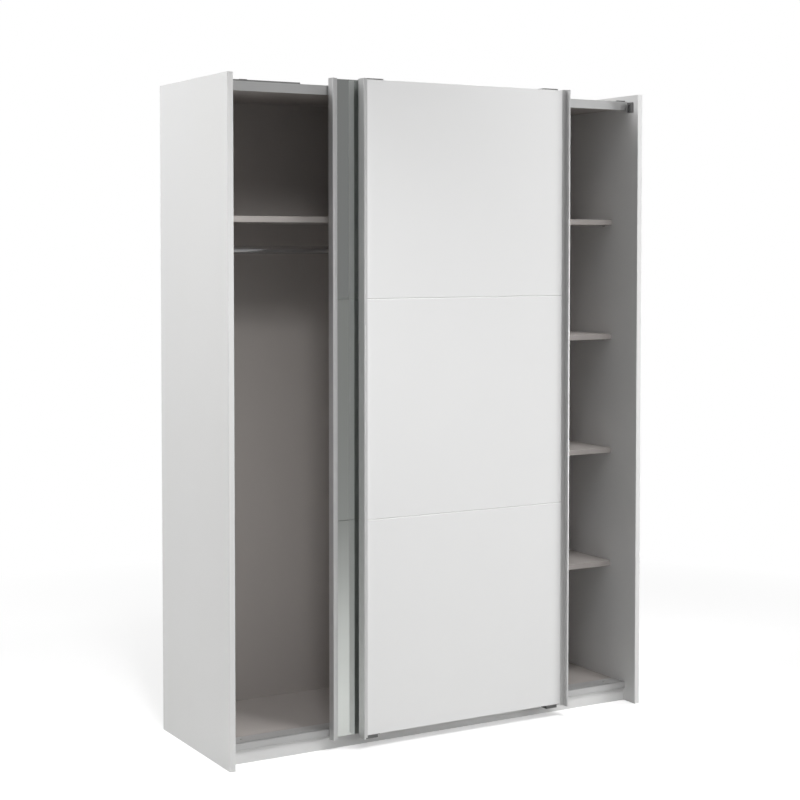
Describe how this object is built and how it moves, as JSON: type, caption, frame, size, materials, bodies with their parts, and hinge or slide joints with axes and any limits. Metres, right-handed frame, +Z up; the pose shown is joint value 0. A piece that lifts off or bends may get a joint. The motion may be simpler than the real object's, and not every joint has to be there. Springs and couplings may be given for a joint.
{
  "type": "sliding door wardrobe",
  "caption": "White wardrobe with two sliding doors, a mirror door behind a white panel door, aluminium handle profiles and tracks, a hanging bay and a shelf bay.",
  "frame": {"origin": "on the floor, in the middle of the whole width and depth", "axes": "+Z up, doors face -Y, +X to the right seen from the front"},
  "size_m": [1.49, 0.522, 2.0255],
  "materials": {
    "white_board": "matt white melamine",
    "door_board": "smooth white foil",
    "plinth_board": "matt white melamine",
    "taupe_board": "fine textured taupe melamine",
    "back_sheet": "printed taupe fibreboard",
    "backing_board": "white melamine",
    "mirror_glass": "silvered float glass",
    "anodised_aluminium": "satin anodised",
    "chromed_tube": "chromed",
    "zinc_casting": "nickel grey",
    "zinc_plated_steel": "bright zinc",
    "roller_nylon": "moulded nylon",
    "grey_plastic": "fine grain",
    "dark_plastic": "fine grain"
  },
  "bodies": {
    "case": {"back_joiner": "grey_plastic", "back_sheet_left": "back_sheet", "back_sheet_right": "back_sheet", "bottom_panel": "taupe_board", "bottom_track": "anodised_aluminium", "bottom_track_screws": "zinc_plated_steel", "cam_bolts": "zinc_plated_steel", "cam_locks": "zinc_casting", "center_divider": "taupe_board", "damper_catch": "dark_plastic", "hanging_rail": "chromed_tube", "left_shelf": "taupe_board", "left_side_panel": "white_board", "plinth_front": "plinth_board", "plinth_middle": "plinth_board", "plinth_rear": "plinth_board", "rail_bracket_left": "zinc_casting", "rail_bracket_right": "zinc_casting", "rail_screws": "zinc_plated_steel", "right_shelf_1": "taupe_board", "right_shelf_2": "taupe_board", "right_shelf_3": "taupe_board", "right_shelf_4": "taupe_board", "right_side_panel": "white_board", "shelf_pins": "zinc_plated_steel", "side_buffers": "dark_plastic", "soft_close_damper": "grey_plastic", "top_panel": "taupe_board", "top_track": "anodised_aluminium", "top_track_screws": "zinc_plated_steel", "track_stops": "dark_plastic"},
    "front_door": {"front_door_carriage_screws": "zinc_plated_steel", "front_door_left_carriage": "zinc_plated_steel", "front_door_left_guide": "grey_plastic", "front_door_left_profile": "anodised_aluminium", "front_door_panel": "door_board", "front_door_right_carriage": "zinc_plated_steel", "front_door_right_guide": "grey_plastic", "front_door_right_profile": "anodised_aluminium"},
    "rear_door": {"mirror_bottom": "mirror_glass", "mirror_middle": "mirror_glass", "mirror_top": "mirror_glass", "rear_door_board": "backing_board", "rear_door_carriage_screws": "zinc_plated_steel", "rear_door_left_carriage": "zinc_plated_steel", "rear_door_left_guide": "grey_plastic", "rear_door_left_profile": "anodised_aluminium", "rear_door_right_carriage": "zinc_plated_steel", "rear_door_right_guide": "grey_plastic", "rear_door_right_profile": "anodised_aluminium"},
    "front_door_left_wheel": {"front_door_left_roller": "roller_nylon"},
    "front_door_right_wheel": {"front_door_right_roller": "roller_nylon"},
    "rear_door_left_wheel": {"rear_door_left_roller": "roller_nylon"},
    "rear_door_right_wheel": {"rear_door_right_roller": "roller_nylon"}
  },
  "joints": [
    {"name": "front_door_slide", "type": "slide", "parent": "case", "child": "front_door", "axis": [1, 0, 0], "range_m": [-0.4155, 0.2785]},
    {"name": "rear_door_slide", "type": "slide", "parent": "case", "child": "rear_door", "axis": [1, 0, 0], "range_m": [-0.327, 0.36]},
    {"name": "front_door_left_wheel_spin", "type": "hinge", "parent": "front_door", "child": "front_door_left_wheel", "pos_m": [-0.2725, -0.1395, 2.0102], "axis": [0, 1, 0], "continuous": true},
    {"name": "front_door_right_wheel_spin", "type": "hinge", "parent": "front_door", "child": "front_door_right_wheel", "pos_m": [0.4095, -0.1395, 2.0102], "axis": [0, 1, 0], "continuous": true},
    {"name": "rear_door_left_wheel_spin", "type": "hinge", "parent": "rear_door", "child": "rear_door_left_wheel", "pos_m": [-0.3575, -0.1745, 2.0102], "axis": [0, 1, 0], "continuous": true},
    {"name": "rear_door_right_wheel_spin", "type": "hinge", "parent": "rear_door", "child": "rear_door_right_wheel", "pos_m": [0.3245, -0.1745, 2.0102], "axis": [0, 1, 0], "continuous": true}
  ],
  "couplings": [
    {"joint": "front_door_left_wheel_spin", "follows": "front_door_slide", "rad_per_m": 125},
    {"joint": "front_door_right_wheel_spin", "follows": "front_door_slide", "rad_per_m": 125},
    {"joint": "rear_door_left_wheel_spin", "follows": "rear_door_slide", "rad_per_m": 125},
    {"joint": "rear_door_right_wheel_spin", "follows": "rear_door_slide", "rad_per_m": 125}
  ]
}
